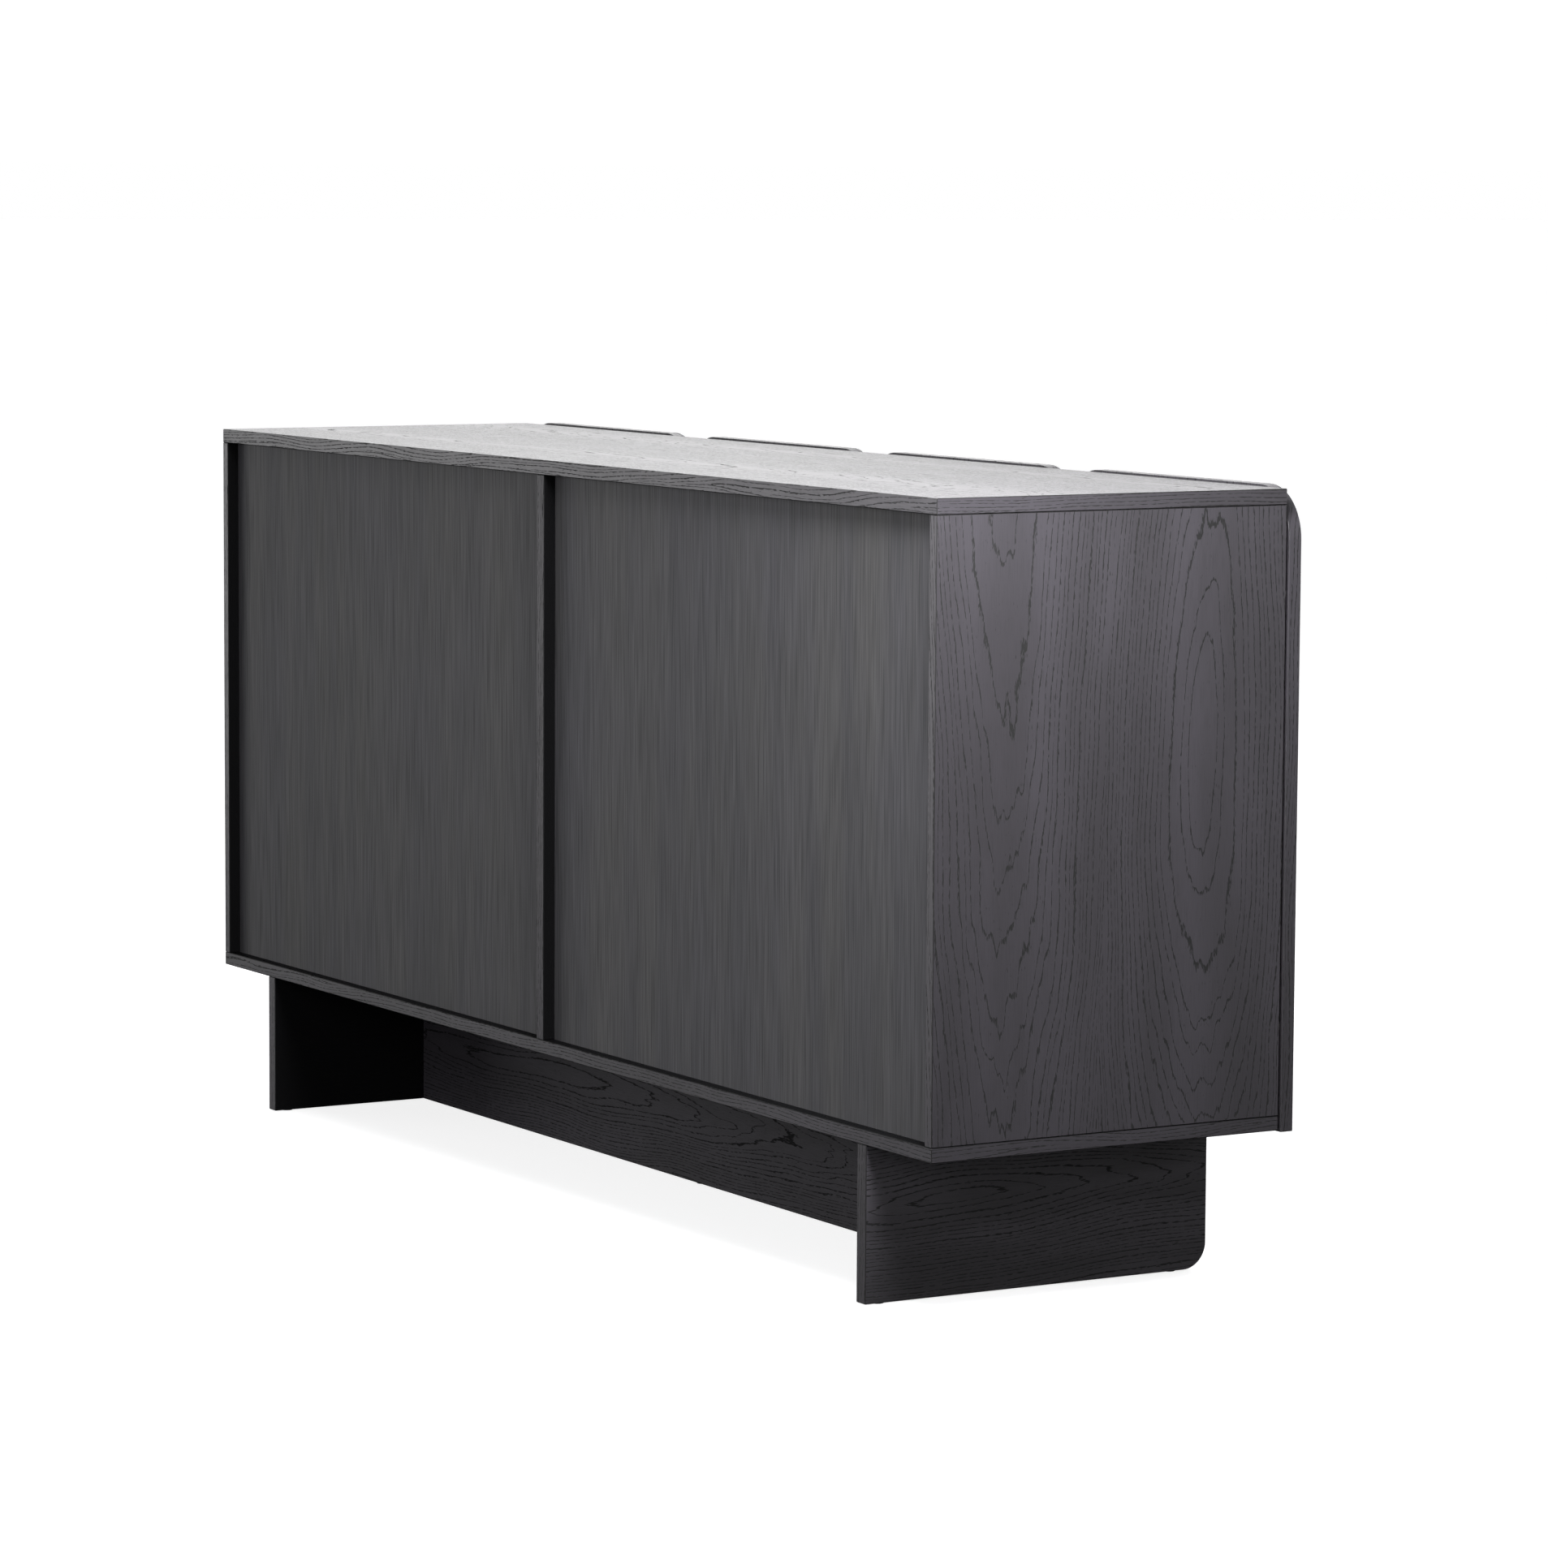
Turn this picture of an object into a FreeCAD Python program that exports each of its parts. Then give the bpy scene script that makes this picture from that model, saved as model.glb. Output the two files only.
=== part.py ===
import FreeCAD, Part
import os

from FreeCAD import Vector

# Low sideboard with two doors and two stacks of three drawers, on an H-shaped base.
# Millimetres. +X is to the right seen from the front, the fronts face -Y, +Z is up.
# The origin is on the floor, under the middle of the whole sideboard.

# ---- overall ----
width = 1500.0
carcass_depth = 383.0          # body of the sideboard, without its fronts
top_height = 752.0             # floor to the top surface
base_height = 150.0            # floor to the underside of the body

# ---- boards ----
top_thickness = 15.0
bottom_thickness = 14.0
side_thickness = 12.0
divider_thickness = 15.0       # centre divider and both partitions
shelf_thickness = 15.0
back_thickness = 5.0
back_recess = 13.0             # how far the back panels sit in from the back edges
groove_depth = 5.0             # grooves that hold the back panels
board_bevel = 0.7              # small bevel on every board edge, seen as a V at the joints
panel_fit = 0.1                # clearance all round a panel in its groove

# ---- fronts ----
front_thickness = 14.0
front_gap = 3.0                # between the body and the back of the fronts
front_joint = 3.0              # between neighbouring fronts
front_rise = 2.0               # fronts stand this much above the top surface
front_drop = 2.0               # and this much below the underside of the body
front_radius = 50.0            # rounded top corners
front_round = 1.0              # softened edges of the fronts
columns = 4
drawers_per_column = 3

# ---- base ----
leg_thickness = 16.0
leg_inset = 113.0              # from the end of the body to the outer face of a leg panel
leg_set_back = 2.0             # leg's front edge behind the front of the body
leg_radius = 25.0              # rounded lower front corner of a leg panel
rail_thickness = 15.0
glide_radius = 6.0
glide_thickness = 3.0
glide_proud = 1.0              # part of the glide that stands below the leg panel

# ---- shelves and their pins ----
shelf_side_gap = 2.0
shelf_set_back = 25.0
shelf_back_gap = 2.0
pin_radius = 2.5
pin_in_board = 7.0
pin_reach = 9.0                # how far a pin stands out under the shelf
collar_radius = 4.0
collar_thickness = 1.2
pin_pitch = 32.0               # spacing of the spare holes above and below each pin
spare_holes = 2                # spare holes above and below each pin
pin_edge = 60.0                # pins in from the shelf's front and back edges
hole_fit = 0.1                 # radial clearance round pins, dowels, bolts and screws

# ---- cam fittings and dowels in the ends of the upright boards ----
cam_radius = 6.0
cam_skin = 3.0                 # wood left behind a cam
cam_offset = 24.0              # cam centre to the end of its board
cam_edge = 60.0                # fittings in from the board's front and back edges
bolt_radius = 2.0
bolt_in_slab = 9.0
dowel_radius = 3.0
dowel_in_slab = 9.0
dowel_in_board = 15.0
dowel_spacing = 32.0           # dowel to the cam bolt beside it

# ---- fixing of the base ----
screw_radius = 2.0
screw_length = 38.0
screw_head_radius = 4.2
screw_head_height = 2.4
screw_edge = 45.0              # outer screws in from the ends of a leg panel
rail_screw_spacing = 500.0
base_dowel_radius = 4.0
base_dowel_in_leg = 10.0
base_dowel_in_rail = 22.0
base_dowel_spacing = 60.0

# ---- hinges ----
hinge_end = 100.0              # hinge centre to the top or bottom of the door
cup_radius = 17.5
cup_depth = 11.0
cup_wall = 1.0
cup_edge = 5.0                 # rim of the cup to the door's outer edge
flange_thickness = 1.0
flange_width = 14.0
flange_length = 58.0
plate_set_back = 37.0          # centre of the mounting plate behind the body's front
plate_thickness = 2.0
plate_width = 18.0
plate_length = 48.0
arm_width = 12.0
arm_height = 9.0
arm_stand_off = 7.0            # arm's outer face to the side panel
arm_length = 62.0              # behind the body's front
arm_in_cup = 4.0               # tip of the arm below the door's back face
screw_cap_radius = 3.6
screw_cap_height = 1.0
screw_cap_margin = 5.0         # screw centre to the end of its plate or flange
screw_recess_radius = 2.2
arm_round = 2.0                # rounded edges of the arm, and its step over the boss

# ---- touch latches behind the doors' free edges ----
latch_side = 13.0
latch_length = 70.0
latch_set_back = 3.0
latch_clearance = 1.0          # from the partition and the top
latch_round = 2.0              # rounded long edges of the housing
plunger_radius = 3.5
plunger_tip_radius = 4.8
plunger_tip_length = 2.0
plunger_in_body = 30.0
plunger_travel = 2.5
plunger_fit = 0.3
plunger_air = 0.3              # between a plunger's tip and the closed door

# ---- drawer boxes ----
box_board = 12.0
box_rise = 26.0                # box above the lower edge of its front
box_headroom = 34.0            # box below the upper edge of its front
box_back_gap = 18.0            # box to the back panels
box_bottom_thickness = 5.0
box_bottom_rise = 10.0
box_groove = 4.0
box_back_drop = 8.0            # the back board is lower than the sides

# ---- drawer runners ----
runner_space = 12.7            # box side to bay wall
runner_set_back = 3.0          # runners behind the body's front
channel_height = 36.0
channel_metal = 1.2
channel_depth = 10.5
runner_rise = 45.0             # runner's centre above the lower edge of the box
slide_fit = 0.4

# ---- worked out from the values above ----
half_width = width / 2
total_depth = carcass_depth + front_gap + front_thickness
y_back = total_depth / 2
y_body = y_back - carcass_depth                # front plane of the body
y_front_back = y_body - front_gap              # back face of the fronts
y_front = y_front_back - front_thickness
y_panel_back = y_back - back_recess
y_panel = y_panel_back - back_thickness        # inner face of the back panels
z_floor_board = base_height + bottom_thickness
z_ceiling = top_height - top_thickness
x_side = half_width - side_thickness           # inner face of a side panel
front_width = (width - (columns - 1) * front_joint) / columns
z_front = base_height - front_drop
z_front_top = top_height + front_rise
drawer_front_height = ((z_front_top - z_front - (drawers_per_column - 1) * front_joint)
                       / drawers_per_column)
box_height = drawer_front_height - box_rise - box_headroom
y_box_back = y_panel - box_back_gap
y_runner = y_body + runner_set_back            # runners end level with the box


def column_start(column):
    """Left edge of a column of fronts, counted from the left end."""
    return -half_width + column * (front_width + front_joint)


def joint_centre(column):
    """Middle of the gap between a column of fronts and the next one."""
    return column_start(column + 1) - front_joint / 2


# x range of every upright board, from left to right
uprights = {
    "side_panel_left": (-half_width, -x_side),
    "partition_left": (joint_centre(0) - divider_thickness / 2,
                       joint_centre(0) + divider_thickness / 2),
    "centre_divider": (joint_centre(1) - divider_thickness / 2,
                       joint_centre(1) + divider_thickness / 2),
    "partition_right": (joint_centre(2) - divider_thickness / 2,
                        joint_centre(2) + divider_thickness / 2),
    "side_panel_right": (x_side, half_width),
}
# the face that carries the cams: +1 is the board's right face
cam_faces = {"side_panel_left": 1, "partition_left": -1, "centre_divider": 1,
             "partition_right": 1, "side_panel_right": -1}
names = list(uprights)
# clear x range between neighbouring uprights, one for each column
bays = [(uprights[a][1], uprights[b][0]) for a, b in zip(names, names[1:])]

z_shelf = (z_floor_board + z_ceiling - shelf_thickness) / 2
hinge_heights = (z_front + hinge_end, z_front_top - hinge_end)
z_leg = glide_proud
y_leg = y_body + leg_set_back
rail_centre = y_body + carcass_depth / 2


def block(x0, x1, y0, y1, z0, z1):
    return Part.makeBox(x1 - x0, y1 - y0, z1 - z0, Vector(x0, y0, z0))


def ordered_block(xa, xb, y0, y1, z0, z1):
    """A block between two x faces given in either order."""
    return block(min(xa, xb), max(xa, xb), y0, y1, z0, z1)


def board(*extents):
    """A board with a small bevel on all of its edges."""
    plain = block(*extents)
    return plain.makeChamfer(board_bevel, plain.Edges)


def rod(radius, length, start, direction):
    return Part.makeCylinder(radius, length, Vector(*start), Vector(*direction))


def save(name, *solids):
    """One file for each node; identical pieces share a node as separate solids."""
    shape = solids[0] if len(solids) == 1 else Part.makeCompound(list(solids))
    shape.exportStep(os.path.join("parts", name + ".step"))


def back_panel(x_left, x_right, grow=0.0):
    """A back panel with its edges in the grooves, or the groove that it needs."""
    inset = groove_depth - panel_fit + grow
    return block(x_left - inset, x_right + inset, y_panel - grow, y_panel_back + grow,
                 z_floor_board - inset, z_ceiling + inset)


def upright_depth(name):
    """Back edge of an upright: partitions stop at the back panels."""
    return y_panel if name.startswith("partition") else y_back


def cam_fitting(name, end, y, grow=0.0):
    """A cam and its bolt in one end of an upright: end is +1 at the top, -1 at the bottom."""
    x0, x1 = uprights[name]
    face = cam_faces[name]
    depth = x1 - x0 - cam_skin
    z_end = z_ceiling if end > 0 else z_floor_board
    z_cam = z_end - end * cam_offset
    x_face = x1 if face > 0 else x0
    cam = rod(cam_radius + grow, depth + grow, (x_face, y, z_cam), (-face, 0, 0))
    middle = (x0 + x1) / 2
    bolt = rod(bolt_radius + grow, cam_offset + bolt_in_slab + grow, (middle, y, z_cam), (0, 0, end))
    return cam, bolt


def edge_dowel(name, end, y, grow=0.0):
    """A dowel across the joint between an upright and the top or bottom slab."""
    x0, x1 = uprights[name]
    z_end = z_ceiling if end > 0 else z_floor_board
    start = z_end - end * (dowel_in_board + grow)
    return rod(dowel_radius + grow, dowel_in_board + dowel_in_slab + 2 * grow,
               ((x0 + x1) / 2, y, start), (0, 0, end))


def fitting_places(name):
    """Cam positions along the depth of an upright, each with the dowel beside it."""
    return [(y_body + cam_edge, y_body + cam_edge + dowel_spacing),
            (upright_depth(name) - cam_edge, upright_depth(name) - cam_edge - dowel_spacing)]


def fittings():
    """All cams, bolts and dowels, and the cuts that they need, by board."""
    cams, bolts, dowels = [], [], []
    cuts = {name: [] for name in uprights}
    cuts["top"], cuts["bottom"] = [], []
    for name in uprights:
        for end, slab in ((1, "top"), (-1, "bottom")):
            for y_cam, y_dowel in fitting_places(name):
                cam, bolt = cam_fitting(name, end, y_cam)
                cam_cut, bolt_cut = cam_fitting(name, end, y_cam, hole_fit)
                dowel_cut = edge_dowel(name, end, y_dowel, hole_fit)
                cams.append(cam.cut(bolt_cut))
                bolts.append(bolt)
                dowels.append(edge_dowel(name, end, y_dowel))
                cuts[name] += [cam_cut, bolt_cut, dowel_cut]
                cuts[slab] += [bolt_cut, dowel_cut]
    return cams, bolts, dowels, cuts


def pin_rows(column):
    """Shelf pin positions: wall face, inward direction and depth, for one door bay."""
    y_shelf_front = y_body + shelf_set_back
    y_shelf_back = y_panel - shelf_back_gap
    for x_wall, inward in zip(bays[column], (1, -1)):
        for y in (y_shelf_front + pin_edge, y_shelf_back - pin_edge):
            yield x_wall, inward, y


def shelf_pin(x_wall, inward, y):
    """A round pin in its hole with a thin collar against the wall, under the shelf."""
    z = z_shelf - pin_radius
    pin = rod(pin_radius, pin_in_board + pin_reach, (x_wall - inward * pin_in_board, y, z),
              (inward, 0, 0))
    collar = rod(collar_radius, collar_thickness, (x_wall, y, z), (inward, 0, 0))
    return pin.fuse(collar)


def pin_holes(x_wall, inward, y):
    """The used hole and the spare ones above and below it."""
    depth = pin_in_board + hole_fit
    return [rod(pin_radius + hole_fit, depth,
                (x_wall, y, z_shelf - pin_radius + step * pin_pitch), (-inward, 0, 0))
            for step in range(-spare_holes, spare_holes + 1)]


def base_screw(x, y, grow=0.0):
    """A countersunk screw down through the bottom slab into the base."""
    shank = rod(screw_radius + grow, screw_length + grow,
                (x, y, z_floor_board - screw_length - grow), (0, 0, 1))
    head = Part.makeCone(screw_radius + grow, screw_head_radius + grow, screw_head_height,
                         Vector(x, y, z_floor_board - screw_head_height))
    return shank.fuse(head)


def leg_range(side):
    """x range of a leg panel: side is -1 on the left and +1 on the right."""
    outer = side * (half_width - leg_inset)
    return sorted((outer, outer - side * leg_thickness))


def screw_places():
    """Screws along both leg panels and along the rail."""
    for side in (-1, 1):
        x = sum(leg_range(side)) / 2
        for y in (y_leg + screw_edge, y_back - screw_edge):
            yield x, y
    for x in (-rail_screw_spacing / 2, rail_screw_spacing / 2):
        yield x, rail_centre


def leg_outline():
    """Side outline of a leg panel: square except for the round lower front corner."""
    low, high = z_leg, base_height
    turn = leg_radius * (1 - 0.5 ** 0.5)
    points = [Vector(0, y_leg, high), Vector(0, y_back, high), Vector(0, y_back, low),
              Vector(0, y_leg + leg_radius, low)]
    edges = [Part.LineSegment(a, b).toShape() for a, b in zip(points, points[1:])]
    corner = Part.Arc(points[-1], Vector(0, y_leg + turn, low + turn),
                      Vector(0, y_leg, low + leg_radius))
    edges.append(corner.toShape())
    edges.append(Part.LineSegment(Vector(0, y_leg, low + leg_radius), points[0]).toShape())
    return Part.Face(Part.Wire(edges))


def base_dowel_cut(side, z, grow):
    inner = side * (half_width - leg_inset - leg_thickness)
    return rod(base_dowel_radius + grow, base_dowel_in_leg + base_dowel_in_rail + 2 * grow,
               (inner + side * (base_dowel_in_leg + grow), rail_centre, z), (-side, 0, 0))


def base_dowel_heights():
    middle = (z_leg + base_height) / 2
    return (middle - base_dowel_spacing / 2, middle + base_dowel_spacing / 2)


def glide_places(side):
    """Glides under a leg panel, clear of its round corner."""
    x = sum(leg_range(side)) / 2
    return [(x, y_leg + leg_radius + 2 * glide_radius), (x, y_back - 3 * glide_radius)]


def glide(x, y, grow=0.0):
    return rod(glide_radius + grow, glide_thickness + grow, (x, y, 0), (0, 0, 1))


def base():
    """Two leg panels across the depth, joined by one rail along the middle."""
    screw_cuts = [base_screw(x, y, hole_fit) for x, y in screw_places()]
    dowels, glides = [], []
    rail_dowel_cuts = []
    for side, word in ((-1, "left"), (1, "right")):
        x0, x1 = leg_range(side)
        leg = leg_outline().extrude(Vector(x1 - x0, 0, 0))
        leg.translate(Vector(x0, 0, 0))
        leg = leg.makeChamfer(board_bevel, leg.Edges)
        cuts = list(screw_cuts)
        for z in base_dowel_heights():
            dowels.append(base_dowel_cut(side, z, 0.0))
            cuts.append(base_dowel_cut(side, z, hole_fit))
            rail_dowel_cuts.append(base_dowel_cut(side, z, hole_fit))
        for x, y in glide_places(side):
            glides.append(glide(x, y))
            cuts.append(glide(x, y, hole_fit))
        save("leg_panel_" + word, leg.cut(cuts))
    x_rail = leg_range(1)[0]
    rail = board(-x_rail, x_rail, rail_centre - rail_thickness / 2,
                 rail_centre + rail_thickness / 2, z_leg, base_height)
    glides.append(glide(0, rail_centre))
    save("base_rail", rail.cut(screw_cuts + rail_dowel_cuts + [glide(0, rail_centre, hole_fit)]))
    save("floor_glides", *glides)
    save("base_screws", *[base_screw(x, y) for x, y in screw_places()])
    return dowels


def carcass(base_dowels):
    """Top and bottom slabs over the uprights, with the back panels let into grooves."""
    cams, bolts, dowels, cuts = fittings()
    panels = {"left": (-x_side, uprights["centre_divider"][0]),
              "right": (uprights["centre_divider"][1], x_side)}
    grooves = [back_panel(*span, panel_fit) for span in panels.values()]
    cuts["bottom"] += [base_screw(x, y, hole_fit) for x, y in screw_places()]
    pins = []
    for column, walls in ((0, names[:2]), (columns - 1, names[-2:])):
        for x_wall, inward, y in pin_rows(column):
            pins.append(shelf_pin(x_wall, inward, y))
            cuts[walls[0] if inward > 0 else walls[1]] += pin_holes(x_wall, inward, y)
    top = board(-half_width, half_width, y_body, y_back, z_ceiling, top_height)
    bottom = board(-half_width, half_width, y_body, y_back, base_height, z_floor_board)
    save("top_panel", top.cut(cuts["top"] + grooves))
    save("bottom_panel", bottom.cut(cuts["bottom"] + grooves))
    for name, (x0, x1) in uprights.items():
        upright = board(x0, x1, y_body, upright_depth(name), z_floor_board, z_ceiling)
        save(name, upright.cut(cuts[name] + grooves))
    for word, span in panels.items():
        save("back_panel_" + word, back_panel(*span))
    for word, column in (("left", 0), ("right", columns - 1)):
        x0, x1 = bays[column]
        save("shelf_" + word,
             board(x0 + shelf_side_gap, x1 - shelf_side_gap, y_body + shelf_set_back,
                   y_panel - shelf_back_gap, z_shelf, z_shelf + shelf_thickness))
    save("shelf_pins", *pins)
    save("cam_locks", *cams)
    save("cam_bolts", *bolts)
    save("dowels", *dowels, *base_dowels)


def front_panel(x0, x1, z0, z1, round_top):
    """An upright front with softened edges; its top corners are arcs when round_top is set."""
    panel = block(x0, x1, y_front, y_front_back, z0, z1)
    if round_top:
        corners = [edge for edge in panel.Edges
                   if edge.BoundBox.YLength > front_thickness / 2
                   and edge.BoundBox.ZMin > (z0 + z1) / 2]
        panel = panel.makeFillet(front_radius, corners)
    return panel.makeFillet(front_round, panel.Edges)


def cup_centre(side):
    return side * (half_width - cup_edge - cup_radius)


def hinge_cup(side, z):
    """A hollow cup let into the door, with a flange and two screw heads on its back face."""
    x = cup_centre(side)
    start = (x, y_front_back, z)
    cup = rod(cup_radius - hole_fit, cup_depth, start, (0, -1, 0))
    flange = block(x - flange_width / 2, x + flange_width / 2, y_front_back,
                   y_front_back + flange_thickness, z - flange_length / 2, z + flange_length / 2)
    rim = rod(cup_radius + cup_wall, flange_thickness, start, (0, 1, 0))
    hollow = rod(cup_radius - hole_fit - cup_wall, cup_depth - cup_wall + flange_thickness,
                 (x, y_front_back + flange_thickness, z), (0, -1, 0))
    body = cup.fuse([flange, rim])
    for step in (-1, 1):
        z_screw = z + step * (flange_length / 2 - screw_cap_margin)
        body = body.cut(rod(screw_recess_radius, flange_thickness / 2,
                            (x, y_front_back + flange_thickness, z_screw), (0, -1, 0)))
    return body.cut(hollow)


def hinge_arm(side, z):
    """Mounting plate on the side panel and the arm that reaches forward into the cup."""
    face = side * x_side
    inward = -side
    y_plate = y_body + plate_set_back
    boss_half = arm_width / 2 - arm_round
    plate = ordered_block(face, face + inward * plate_thickness, y_plate - plate_width / 2,
                          y_plate + plate_width / 2, z - plate_length / 2, z + plate_length / 2)
    boss = ordered_block(face, face + inward * arm_stand_off, y_plate - plate_width / 2,
                         y_body + arm_length, z - boss_half, z + boss_half)
    near = face + inward * arm_stand_off
    arm = ordered_block(near, near + inward * arm_height, y_front_back - arm_in_cup,
                        y_body + arm_length, z - arm_width / 2, z + arm_width / 2)
    upright_edges = [edge for edge in arm.Edges if edge.BoundBox.ZLength > arm_width / 2]
    arm = arm.makeFillet(arm_round, upright_edges)
    body = plate.fuse([boss, arm]).removeSplitter()
    for step in (-1, 1):
        z_cap = z + step * (plate_length / 2 - screw_cap_margin)
        cap = rod(screw_cap_radius, screw_cap_height,
                  (face + inward * plate_thickness, y_plate, z_cap), (inward, 0, 0))
        body = body.fuse(cap)
    adjuster = rod(screw_cap_radius, screw_cap_height,
                   (near + inward * arm_height, y_plate, z), (inward, 0, 0))
    return body.fuse(adjuster)


def doors():
    """Full-height doors on concealed hinges at the two ends."""
    arms = []
    for side, word, column in ((-1, "left", 0), (1, "right", columns - 1)):
        start = column_start(column)
        door = front_panel(start, start + front_width, z_front, z_front_top, True)
        bores = [rod(cup_radius, cup_depth + hole_fit, (cup_centre(side), y_front_back, z),
                     (0, -1, 0)) for z in hinge_heights]
        save("door_" + word, door.cut(bores))
        save("hinge_cups_" + word, *[hinge_cup(side, z) for z in hinge_heights])
        arms += [hinge_arm(side, z) for z in hinge_heights]
    save("hinge_arms", *arms)


def latch_centre(side):
    """Middle of a touch latch, beside the partition and under the top."""
    wall = bays[0][1] if side < 0 else bays[columns - 1][0]
    off = latch_clearance + latch_side / 2
    return wall + side * off, z_ceiling - off


def latches():
    """Touch latches: a fixed housing and a sprung plunger for each door."""
    y_housing = y_body + latch_set_back
    y_tip = y_front_back + plunger_air
    housings = []
    for side, word in ((-1, "left"), (1, "right")):
        x, z = latch_centre(side)
        wall = x - side * latch_side / 2
        tube = block(x - latch_side / 2, x + latch_side / 2, y_housing,
                     y_housing + latch_length, z - latch_side / 2, z + latch_side / 2)
        long_edges = [edge for edge in tube.Edges if edge.BoundBox.YLength > latch_side]
        tube = tube.makeFillet(latch_round, long_edges)
        foot = ordered_block(wall - side * latch_clearance, wall + side * latch_clearance,
                             y_housing + latch_length / 4, y_housing + latch_length * 3 / 4,
                             z - latch_side / 2 + latch_round, z + latch_side / 2 - latch_round)
        bore = rod(plunger_radius + plunger_fit,
                   plunger_in_body + plunger_travel + plunger_fit, (x, y_housing, z), (0, 1, 0))
        housings.append(tube.fuse(foot).cut(bore))
        tip = rod(plunger_tip_radius, plunger_tip_length, (x, y_tip, z), (0, 1, 0))
        tip = tip.makeFillet(plunger_tip_length / 4, tip.Edges[:1])
        stem = rod(plunger_radius, y_housing + plunger_in_body - y_tip, (x, y_tip, z), (0, 1, 0))
        save("latch_plunger_" + word, stem.fuse(tip))
    save("latch_housings", *housings)


def runner_channel(x_wall, inward, z):
    """Fixed runner: a steel channel on the bay wall, open towards the drawer."""
    half = channel_height / 2
    outer = ordered_block(x_wall, x_wall + inward * channel_depth, y_runner, y_box_back,
                          z - half, z + half)
    inner = ordered_block(x_wall + inward * channel_metal, x_wall + inward * channel_depth,
                          y_runner, y_box_back, z - half + channel_metal, z + half - channel_metal)
    return outer.cut(inner)


def runner_rail(x_wall, inward, z):
    """Moving runner on the box side: a hollow steel rail that rides in the channel."""
    x_box = x_wall + inward * runner_space
    x_rail = x_wall + inward * (channel_metal + slide_fit)
    half = channel_height / 2 - channel_metal - slide_fit
    rail = ordered_block(x_rail, x_box, y_runner, y_box_back, z - half, z + half)
    hollow = ordered_block(x_rail + inward * channel_metal, x_box - inward * channel_metal,
                           y_runner, y_box_back, z - half + channel_metal, z + half - channel_metal)
    return rail.cut(hollow)


def drawer(number, column, z_low, round_top):
    """One drawer: its front, a box of four boards and the runners on its sides."""
    name = "drawer_%d_" % number
    start = column_start(column)
    x_left, x_right = bays[column]
    x0, x1 = x_left + runner_space, x_right - runner_space
    z0 = z_low + box_rise
    y1 = y_box_back
    inset = box_groove - panel_fit

    def bottom(grow):
        """The bottom panel, or the groove that it needs."""
        return block(x0 + box_board - inset - grow, x1 - box_board + inset + grow,
                     y_front_back - inset - grow, y1 - box_board + inset + grow,
                     z0 + box_bottom_rise - grow,
                     z0 + box_bottom_rise + box_bottom_thickness + grow)

    groove = bottom(panel_fit)
    front = front_panel(start, start + front_width, z_low, z_low + drawer_front_height, round_top)
    sides = [board(x, x + box_board, y_front_back, y1, z0, z0 + box_height).cut(groove)
             for x in (x0, x1 - box_board)]
    back = board(x0 + box_board, x1 - box_board, y1 - box_board, y1, z0,
                 z0 + box_height - box_back_drop)
    save(name + "front", front.cut(groove))
    save(name + "sides", *sides)
    save(name + "back", back.cut(groove))
    save(name + "bottom", bottom(0.0))
    z_runner = z0 + runner_rise
    save(name + "runners", runner_rail(x_left, 1, z_runner), runner_rail(x_right, -1, z_runner))
    return [runner_channel(x_left, 1, z_runner), runner_channel(x_right, -1, z_runner)]


def drawers():
    """Two middle columns of drawers, numbered from the top left."""
    channels = []
    number = 0
    for column in range(1, columns - 1):
        for row in reversed(range(drawers_per_column)):
            number += 1
            z_low = z_front + row * (drawer_front_height + front_joint)
            channels += drawer(number, column, z_low, row == drawers_per_column - 1)
    save("cabinet_runners", *channels)


os.makedirs("parts", exist_ok=True)
carcass(base())
doors()
latches()
drawers()
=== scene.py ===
import math

import bmesh
import bpy
import numpy as np
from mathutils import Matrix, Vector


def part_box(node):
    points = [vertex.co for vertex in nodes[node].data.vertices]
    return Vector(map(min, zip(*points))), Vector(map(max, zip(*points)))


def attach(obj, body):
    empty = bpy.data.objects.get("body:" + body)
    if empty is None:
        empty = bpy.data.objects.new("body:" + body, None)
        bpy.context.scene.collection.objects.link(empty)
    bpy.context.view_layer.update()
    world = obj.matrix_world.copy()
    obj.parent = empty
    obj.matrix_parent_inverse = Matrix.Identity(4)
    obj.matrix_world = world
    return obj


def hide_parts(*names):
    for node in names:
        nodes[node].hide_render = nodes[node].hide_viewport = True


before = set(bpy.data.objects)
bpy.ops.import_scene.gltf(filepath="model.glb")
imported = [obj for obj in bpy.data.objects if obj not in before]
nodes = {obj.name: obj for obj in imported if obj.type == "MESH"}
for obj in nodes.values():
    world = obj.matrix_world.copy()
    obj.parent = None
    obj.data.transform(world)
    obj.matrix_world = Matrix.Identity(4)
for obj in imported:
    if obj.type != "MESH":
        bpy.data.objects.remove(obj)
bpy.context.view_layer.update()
print("frame loaded:", len(nodes), "nodes")

# A dresser in black-stained oak: two doors and six drawers. Metres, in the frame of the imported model.


# A node with its inputs set in order: a value, a socket to link, or None to leave it alone.
def put(tree, kind, *values, **settings):
    node = tree.nodes.new(kind)
    for name, setting in settings.items():
        setattr(node, name, setting)
    for socket, value in zip(node.inputs, values):
        if isinstance(value, bpy.types.NodeSocket):
            tree.links.new(value, socket)
        elif value is not None:
            socket.default_value = value
    return node


def calc(tree, operation, *values):
    return put(tree, "ShaderNodeMath", *values, operation=operation).outputs[0]


def total(tree, *values):
    result = values[0]
    for value in values[1:]:
        result = calc(tree, "ADD", result, value)
    return result


def product(tree, *values):
    result = values[0]
    for value in values[1:]:
        result = calc(tree, "MULTIPLY", result, value)
    return result


def joinAxes(tree, x, y, z):
    return put(tree, "ShaderNodeCombineXYZ", x, y, z).outputs[0]


def splitAxes(tree, socket):
    return put(tree, "ShaderNodeSeparateXYZ", socket).outputs


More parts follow.
